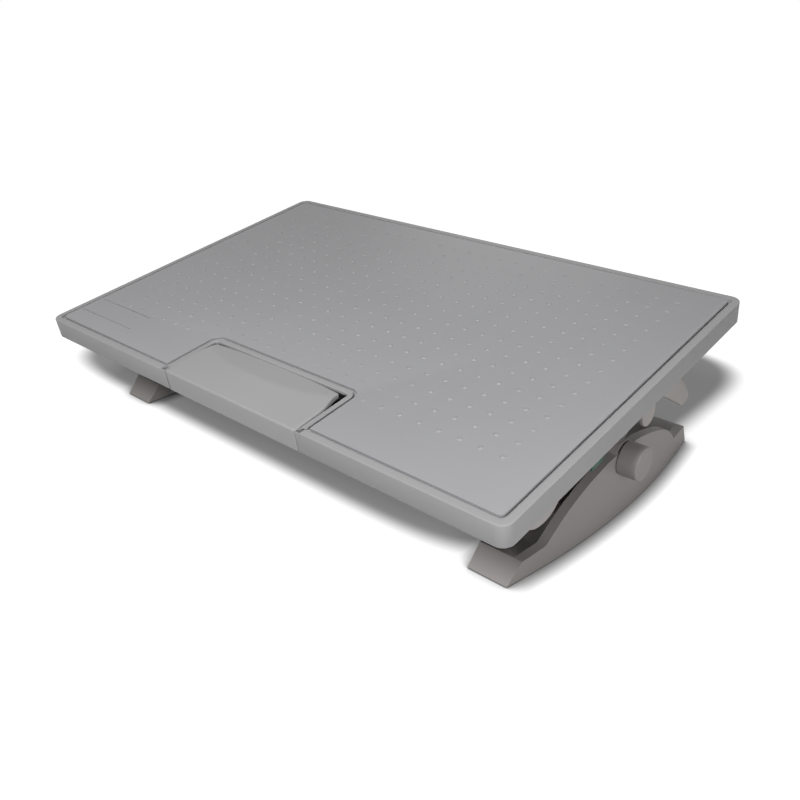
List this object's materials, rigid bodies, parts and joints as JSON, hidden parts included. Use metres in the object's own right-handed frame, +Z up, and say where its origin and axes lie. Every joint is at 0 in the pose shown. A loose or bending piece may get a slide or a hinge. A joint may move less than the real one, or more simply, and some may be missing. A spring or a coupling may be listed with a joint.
{
  "type": "tilting footrest",
  "caption": "Low tilting footrest: wide flat deck with raised dots on two arched legs, foot pedal in its front edge for height, side knobs for tilt.",
  "frame": {"origin": "on the floor, under the middle of the whole footrest as it stands", "axes": "+Z up, +X to the user's right along the deck's long side, +Y from the user's front edge with the pedal to the raised rear edge"},
  "size_m": [0.5618, 0.3554, 0.1542],
  "materials": {
    "deck_plastic": "fine moulded texture, cool mid grey",
    "panel_plastic": "fine leathery moulded texture, cool mid grey",
    "leg_plastic": "satin moulded plastic, warm mid grey",
    "mark_plastic": "smooth green plastic",
    "acetal": "natural white acetal",
    "steel": "zinc-plated steel",
    "sole_rubber": "dark non-slip rubber"
  },
  "bodies": {
    "base": {"right_leg": "leg_plastic", "left_leg": "leg_plastic", "right_sole": "sole_rubber", "left_sole": "sole_rubber", "cross_shaft": "steel"},
    "right_knob_body": {"right_knob": "leg_plastic", "right_knob_stud": "steel"},
    "left_knob_body": {"left_knob": "leg_plastic", "left_knob_stud": "steel"},
    "carriage": {"right_slider": "leg_plastic", "left_slider": "leg_plastic", "right_hub_bush": "acetal", "left_hub_bush": "acetal", "right_friction_washer": "acetal", "left_friction_washer": "acetal", "carriage_beam": "steel"},
    "deck": {"deck_frame": "deck_plastic", "top_panel": "panel_plastic", "right_guide_bracket": "leg_plastic", "left_guide_bracket": "leg_plastic", "right_side_rail": "leg_plastic", "left_side_rail": "leg_plastic", "right_height_mark": "mark_plastic", "left_height_mark": "mark_plastic", "right_bracket_screw_1": "steel", "left_bracket_screw_1": "steel", "right_bracket_screw_2": "steel", "left_bracket_screw_2": "steel", "right_bracket_screw_3": "steel", "left_bracket_screw_3": "steel", "right_bracket_screw_4": "steel", "left_bracket_screw_4": "steel", "pedal_hinge_rod": "steel", "right_pedal_spring": "steel", "left_pedal_spring": "steel"},
    "pedal_body": {"pedal": "deck_plastic"},
    "brake": {"brake_bar": "steel", "right_push_rod": "steel", "left_push_rod": "steel", "right_brake_shoe": "sole_rubber", "left_brake_shoe": "sole_rubber"}
  },
  "joints": [
    {"name": "right_knob_turn", "type": "hinge", "parent": "base", "child": "right_knob_body", "pos_m": [0, 0.01633, 0.057], "axis": [1, 0, 0], "range_deg": [0, 180]},
    {"name": "left_knob_turn", "type": "hinge", "parent": "base", "child": "left_knob_body", "pos_m": [0, 0.01633, 0.057], "axis": [-1, 0, 0], "range_deg": [0, 180]},
    {"name": "deck_tilt", "type": "hinge", "parent": "base", "child": "carriage", "pos_m": [0, 0.01633, 0.057], "axis": [1, 0, 0], "range_deg": [-9.4, 8.5]},
    {"name": "deck_height", "type": "slide", "parent": "carriage", "child": "deck", "axis": [0, -0.1642, 0.9864], "range_m": [-0.035, 0]},
    {"name": "pedal_press", "type": "hinge", "parent": "deck", "child": "pedal_body", "pos_m": [0, -0.12372, 0.09441], "axis": [1, 0, 0], "range_deg": [0, 7], "stiffness_Nm_per_rad": 0.5, "springref_deg": -17.19, "deforming": ["right_pedal_spring", "left_pedal_spring"]},
    {"name": "brake_release", "type": "slide", "parent": "deck", "child": "brake", "axis": [0, 0.9864, 0.1642], "range_m": [0, 0.00366]}
  ],
  "couplings": [
    {"joint": "pedal_press", "follows": "brake_release", "rad_per_m": 33.333}
  ]
}
